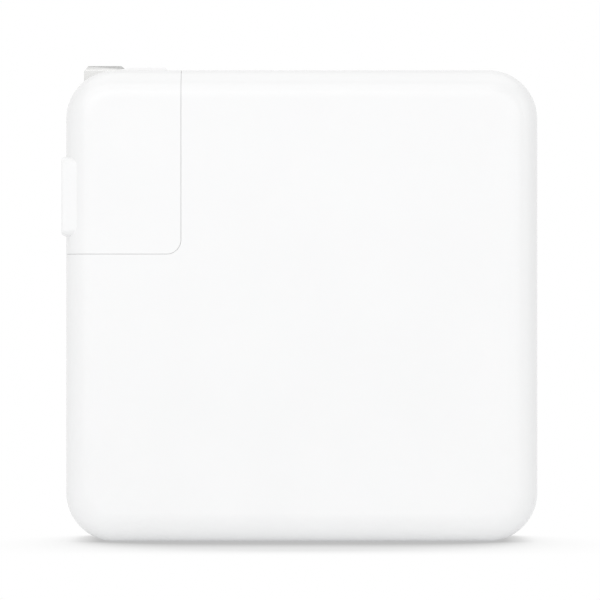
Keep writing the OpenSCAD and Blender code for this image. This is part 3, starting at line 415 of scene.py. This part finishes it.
def blade(name, side):
    """A folded blade with its tang: flat, trimmed and bevelled at the tip, with a round hole."""
    left, right, y = BLADE_X - BLADE_W / 2, BLADE_X + BLADE_W / 2, side * BLADE_Y
    front, rear = y - BLADE_T / 2, y + BLADE_T / 2
    flat = prism(name, Y, [
        (left, BLADE_ROOT), (right, BLADE_ROOT),
        (right, BLADE_TIP - TIP_INNER[1]), (right - TIP_INNER[0], BLADE_TIP),
        (left + TIP_OUTER[0], BLADE_TIP), (left, BLADE_TIP - TIP_OUTER[1]),
    ], front, rear)
    across, along = TIP_BEVEL
    keep(flat, prism("tmp", X, [
        (front, BLADE_ROOT), (rear, BLADE_ROOT),
        (rear, BLADE_TIP - along), (rear - across, BLADE_TIP),
        (front + across, BLADE_TIP), (front, BLADE_TIP - along),
    ], left - OVER, right + OVER))
    cut(flat, prism("tmp", Y, circle(BLADE_X, BLADE_TIP - BLADE_HOLE_IN, BLADE_HOLE_R),
                    front - OVER, rear + OVER))
    join(flat, block("tmp", (left, front, TANG_Z), (left + TANG_W, rear, BLADE_ROOT + TANG_INTO)))
    soften(flat, BLADE_EASE)
    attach(flat, "blades")
    return flat


blade_front = blade("blade_front_skin", -1)
blade_rear = blade("blade_rear_skin", 1)
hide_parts("blade_front")
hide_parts("blade_rear")

# ---------------------------------------------------------------- materials

# a noise is mostly between these two values, so its colours and numbers are spread between them
NOISE_LOW, NOISE_HIGH = 0.3, 0.7
# how fine the noise for colour and roughness is, and the one for grain
COLOUR_DETAIL, GRAIN_DETAIL = 4.0, 2.0


def tree(name):
    """A new material, its node tree and its Principled shader."""
    mat = bpy.data.materials.new(name)
    mat.use_nodes = True
    return mat, mat.node_tree, mat.node_tree.nodes["Principled BSDF"]


def noise_of(nt, scale, detail=3.0, stretch=(1, 1, 1)):
    """A noise texture over the object's own coordinates."""
    coord = nt.nodes.new("ShaderNodeTexCoord")
    mapping = nt.nodes.new("ShaderNodeMapping")
    mapping.inputs["Scale"].default_value = stretch
    noise = nt.nodes.new("ShaderNodeTexNoise")
    noise.inputs["Scale"].default_value = scale
    noise.inputs["Detail"].default_value = detail
    nt.links.new(coord.outputs["Object"], mapping.inputs["Vector"])
    nt.links.new(mapping.outputs["Vector"], noise.inputs["Vector"])
    return noise.outputs["Fac"]


def colour_span(nt, fac, low, high):
    """A colour that goes from low to high with the noise fac."""
    node = nt.nodes.new("ShaderNodeValToRGB")
    for stop, place, colour in zip(node.color_ramp.elements, (NOISE_LOW, NOISE_HIGH), (low, high)):
        stop.position = place
        stop.color = (*colour, 1)
    nt.links.new(fac, node.inputs["Fac"])
    return node.outputs["Color"]


def number_span(nt, fac, low, high):
    """A number that goes from low to high with the noise fac."""
    node = nt.nodes.new("ShaderNodeMapRange")
    node.inputs["From Min"].default_value = NOISE_LOW
    node.inputs["From Max"].default_value = NOISE_HIGH
    node.inputs["To Min"].default_value = low
    node.inputs["To Max"].default_value = high
    nt.links.new(fac, node.inputs["Value"])
    return node.outputs["Result"]


def surface(name, dark, light, rough, grain, metallic=0.0, scale=400, stretch=(1, 1, 1), ior=1.5,
            coat=0.0):
    """A procedural material: colour and roughness that vary a little, and a fine grain.

    rough is its least and most roughness, and grain its scale, strength and depth in metres.
    """
    mat, nt, bsdf = tree(name)
    wide = noise_of(nt, scale, COLOUR_DETAIL, stretch)
    nt.links.new(colour_span(nt, wide, dark, light), bsdf.inputs["Base Color"])
    nt.links.new(number_span(nt, wide, *rough), bsdf.inputs["Roughness"])
    bsdf.inputs["Metallic"].default_value = metallic
    bsdf.inputs["IOR"].default_value = ior
    bsdf.inputs["Coat Weight"].default_value = coat
    grain_scale, strength, depth = grain
    bump = nt.nodes.new("ShaderNodeBump")
    bump.inputs["Strength"].default_value = strength
    bump.inputs["Distance"].default_value = depth
    nt.links.new(noise_of(nt, grain_scale, GRAIN_DETAIL, stretch), bump.inputs["Height"])
    nt.links.new(bump.outputs["Normal"], bsdf.inputs["Normal"])
    return mat


# the record's material slots
FINISHES = {
    "white_case": dict(dark=(0.926, 0.926, 0.926), light=(0.941, 0.941, 0.941), rough=(0.2, 0.26),
                       scale=60, grain=(1800, 0.03, 0.00005), ior=1.58),
    "white_inner": dict(dark=(0.86, 0.86, 0.86), light=(0.89, 0.89, 0.885), rough=(0.4, 0.5),
                        scale=200, grain=(5000, 0.12, 0.00005)),
    "plated_blade": dict(dark=(0.43, 0.43, 0.425), light=(0.49, 0.49, 0.485), rough=(0.2, 0.34),
                         metallic=1.0, scale=250, stretch=(8, 8, 0.6), grain=(900, 0.03, 0.00002)),
    "spring_steel": dict(dark=(0.56, 0.56, 0.57), light=(0.66, 0.66, 0.67), rough=(0.22, 0.36),
                         metallic=1.0, scale=600, stretch=(1, 6, 1), grain=(2500, 0.1, 0.00003)),
    "dark_plastic": dict(dark=(0.035, 0.035, 0.037), light=(0.055, 0.055, 0.058), rough=(0.4, 0.52),
                         scale=300, grain=(6000, 0.2, 0.00005)),
    "contact_brass": dict(dark=(0.78, 0.6, 0.28), light=(0.9, 0.74, 0.4), rough=(0.2, 0.32),
                          metallic=1.0, scale=500, grain=(3000, 0.08, 0.00003)),
    "board": dict(dark=(0.02, 0.11, 0.055), light=(0.035, 0.17, 0.08), rough=(0.25, 0.4),
                  scale=900, grain=(2500, 0.25, 0.00005), coat=0.3),
    "copper": dict(dark=(0.7, 0.36, 0.22), light=(0.86, 0.5, 0.34), rough=(0.28, 0.42),
                   metallic=1.0, scale=300, stretch=(1, 5, 1), grain=(1500, 0.1, 0.00004)),
    "ferrite": dict(dark=(0.06, 0.06, 0.063), light=(0.1, 0.1, 0.104), rough=(0.5, 0.7),
                    scale=1500, grain=(5000, 0.35, 0.00008)),
    "capacitor_can": dict(dark=(0.1, 0.11, 0.14), light=(0.14, 0.155, 0.19), rough=(0.3, 0.42),
                          scale=200, grain=(2500, 0.1, 0.00004), coat=0.2),
    "bare_aluminium": dict(dark=(0.68, 0.68, 0.69), light=(0.78, 0.78, 0.79), rough=(0.3, 0.45),
                           metallic=1.0, scale=300, stretch=(6, 1, 1), grain=(1500, 0.12, 0.00004)),
    "film_box": dict(dark=(0.62, 0.44, 0.12), light=(0.74, 0.55, 0.2), rough=(0.35, 0.5),
                     scale=250, grain=(3000, 0.15, 0.00005)),
    "blue_disc": dict(dark=(0.05, 0.15, 0.45), light=(0.09, 0.24, 0.6), rough=(0.2, 0.35),
                      scale=400, grain=(1200, 0.25, 0.0001), coat=0.3),
    "insulating_film": dict(dark=(0.78, 0.75, 0.66), light=(0.86, 0.84, 0.76), rough=(0.25, 0.4),
                            scale=150, grain=(1800, 0.1, 0.00004)),
    "thermal_pad": dict(dark=(0.4, 0.52, 0.6), light=(0.5, 0.62, 0.7), rough=(0.6, 0.75),
                        scale=800, grain=(4000, 0.3, 0.00006)),
    "live_sleeve": dict(dark=(0.17, 0.07, 0.03), light=(0.24, 0.11, 0.05), rough=(0.4, 0.5),
                        scale=500, grain=(3000, 0.1, 0.00004)),
    "neutral_sleeve": dict(dark=(0.03, 0.09, 0.36), light=(0.06, 0.14, 0.46), rough=(0.4, 0.5),
                           scale=500, grain=(3000, 0.1, 0.00004)),
    "ground_sleeve": dict(dark=(0.04, 0.26, 0.06), light=(0.08, 0.36, 0.1), rough=(0.4, 0.5),
                          scale=500, grain=(3000, 0.1, 0.00004)),
}
finishes = {name: surface(name, **look) for name, look in FINISHES.items()}
# the frame brings a plain material under each slot's name, and Blender calls the ones above name.001.
# So this finds the frame's, and CAD nodes show those. With finishes here, they would show the ones above
by_name = {mat.name: mat for mat in bpy.data.materials}
slot_of = {row["node"]: row["material_slot"] for row in frame["record"]["subparts"]}
for name, obj in frame["nodes"].items():
    mat = by_name[slot_of[name]]
    if not obj.material_slots:
        obj.data.materials.append(mat)
    for material_slot in obj.material_slots:
        material_slot.material = mat
for piece in (case_front, case_rear, plug, blade_front, blade_rear):
    finish = "plated_blade" if piece in (blade_front, blade_rear) else "white_case"
    piece.data.materials.clear()
    piece.data.materials.append(finishes[finish])

# ---------------------------------------------------------------- studio, in metres

# the world's light on the adapter, and as the camera and reflections see it
AMBIENT = 0.6
WHITE = 1.0
# light that the floor sends up, as a lit table does, and its colour, a little cool
TABLE = 0.24
TABLE_COLOUR = (0.98, 1.0, 1.02, 1)
# half the floor's width, and its own pale grey, which lights the adapter too
FLOOR_HALF = 4
FLOOR_DARK, FLOOR_LIGHT = (0.69, 0.69, 0.69), (0.71, 0.71, 0.71)
FLOOR_NOISE = 3.0
FLOOR_ROUGH = 0.9
# the floor's shadow, as from a high light behind the adapter: two cones, tilted and turned by so many
# degrees, look for the adapter, first far and then near. Each row is how far they look, and the light
# that is left where they find so much of their view open
SHADOW_TILT = 60.0
SHADOW_TURN = 40.0
SHADOWS = (
    (0.044, ((0.62, 0.79), (0.68, 0.79), (0.76, 0.86), (0.84, 0.96), (0.95, 1.0))),
    (0.024, ((0.5, 0.64), (0.6, 0.8), (0.7, 0.9), (0.8, 0.98), (0.9, 1.0))),
)
SHADOW_SAMPLES = 16
# place, size and power of each soft lamp, all aimed at the middle of the adapter
LAMPS = {
    "key": ((-0.6, -1.2, 1.0), (1.8, 1.2), 5.2),
    "front": ((0.0, -1.6, 0.25), (2.4, 1.0), 6.15),
    "top": ((0.0, 0.1, 1.0), (1.6, 0.9), 1.95),
    "right": ((1.3, -0.6, 0.4), (0.8, 1.0), 1.05),
}
MIDDLE = Vector((0, 0, BODY_H / 2 * METRES))


def seen_rays(nt):
    """1 for a ray from the camera, a reflection or clear glass, and 0 for another."""
    path = nt.nodes.new("ShaderNodeLightPath")
    out = path.outputs["Is Camera Ray"]
    for kind in ("Is Glossy Ray", "Is Transmission Ray"):
        larger = nt.nodes.new("ShaderNodeMath")
        larger.operation = "MAXIMUM"
        nt.links.new(out, larger.inputs[0])
        nt.links.new(path.outputs[kind], larger.inputs[1])
        out = larger.outputs[0]
    return out


def shadow(nt, reach, curve):
    """The light that the adapter leaves on the floor, as two tilted cones of this reach see it."""
    tilt, turn = math.radians(SHADOW_TILT), math.radians(SHADOW_TURN)
    clear = nt.nodes.new("ShaderNodeMath")
    clear.operation = "MAXIMUM"
    for i, side in enumerate((-1, 1)):
        aim = nt.nodes.new("ShaderNodeCombineXYZ")
        aim.inputs["X"].default_value = side * math.sin(tilt) * math.sin(turn)
        aim.inputs["Y"].default_value = math.sin(tilt) * math.cos(turn)
        aim.inputs["Z"].default_value = math.cos(tilt)
        near = nt.nodes.new("ShaderNodeAmbientOcclusion")
        near.samples = SHADOW_SAMPLES
        near.inputs["Distance"].default_value = reach
        nt.links.new(aim.outputs["Vector"], near.inputs["Normal"])
        nt.links.new(near.outputs["AO"], clear.inputs[i])
    light = nt.nodes.new("ShaderNodeValToRGB")
    stops = light.color_ramp.elements
    stops[0].position, stops[1].position = curve[0][0], curve[-1][0]
    for place, _ in curve[1:-1]:
        stops.new(place)
    for stop, (_, level) in zip(stops, curve):
        stop.color = (level, level, level, 1)
    nt.links.new(clear.outputs[0], light.inputs["Fac"])
    return light.outputs["Color"]


floor_mesh = bpy.data.meshes.new("floor")
floor_corners = [(x * FLOOR_HALF, y * FLOOR_HALF, 0) for x, y in ((-1, -1), (1, -1), (1, 1), (-1, 1))]
floor_mesh.from_pydata(floor_corners, [], [(0, 1, 2, 3)])
floor = bpy.data.objects.new("floor", floor_mesh)
scene.collection.objects.link(floor)
floor_mat, nt, bsdf = tree("floor")
bsdf.inputs["Roughness"].default_value = FLOOR_ROUGH
bsdf.inputs["Specular IOR Level"].default_value = 0.0
floor_colour = colour_span(nt, noise_of(nt, FLOOR_NOISE), FLOOR_DARK, FLOOR_LIGHT)
nt.links.new(floor_colour, bsdf.inputs["Base Color"])
# the camera and reflections see a white floor with the adapter's soft shadow on it
far_shade, near_shade = (shadow(nt, reach, curve) for reach, curve in SHADOWS)
shade = nt.nodes.new("ShaderNodeMath")
shade.operation = "MULTIPLY"
nt.links.new(far_shade, shade.inputs[0])
nt.links.new(near_shade, shade.inputs[1])
seen_glow = nt.nodes.new("ShaderNodeEmission")
nt.links.new(shade.outputs[0], seen_glow.inputs["Strength"])
# the adapter gets the floor's own light
table_glow = nt.nodes.new("ShaderNodeEmission")
table_glow.inputs["Color"].default_value = TABLE_COLOUR
table_glow.inputs["Strength"].default_value = TABLE
lit = nt.nodes.new("ShaderNodeAddShader")
nt.links.new(bsdf.outputs[0], lit.inputs[0])
nt.links.new(table_glow.outputs[0], lit.inputs[1])
both = nt.nodes.new("ShaderNodeMixShader")
nt.links.new(seen_rays(nt), both.inputs["Fac"])
nt.links.new(lit.outputs[0], both.inputs[1])
nt.links.new(seen_glow.outputs[0], both.inputs[2])
nt.links.new(both.outputs[0], nt.nodes["Material Output"].inputs["Surface"])
floor_mat.cycles.emission_sampling = "NONE"
floor_mesh.materials.append(floor_mat)

world = bpy.data.worlds.new("studio")
scene.world = world
world.use_nodes = True
nt = world.node_tree
back = nt.nodes["Background"]
back.inputs["Color"].default_value = (1, 1, 1, 1)
level = nt.nodes.new("ShaderNodeMapRange")
level.inputs["To Min"].default_value = AMBIENT
level.inputs["To Max"].default_value = WHITE
nt.links.new(seen_rays(nt), level.inputs["Value"])
nt.links.new(level.outputs["Result"], back.inputs["Strength"])

for name, (place, size, power) in LAMPS.items():
    data = bpy.data.lights.new(name, "AREA")
    data.shape = "RECTANGLE"
    data.size, data.size_y = size
    data.energy = power
    lamp = bpy.data.objects.new(name, data)
    scene.collection.objects.link(lamp)
    lamp.location = place
    lamp.rotation_euler = (MIDDLE - Vector(place)).to_track_quat("-Z", "Y").to_euler()

scene.view_settings.view_transform = "Standard"
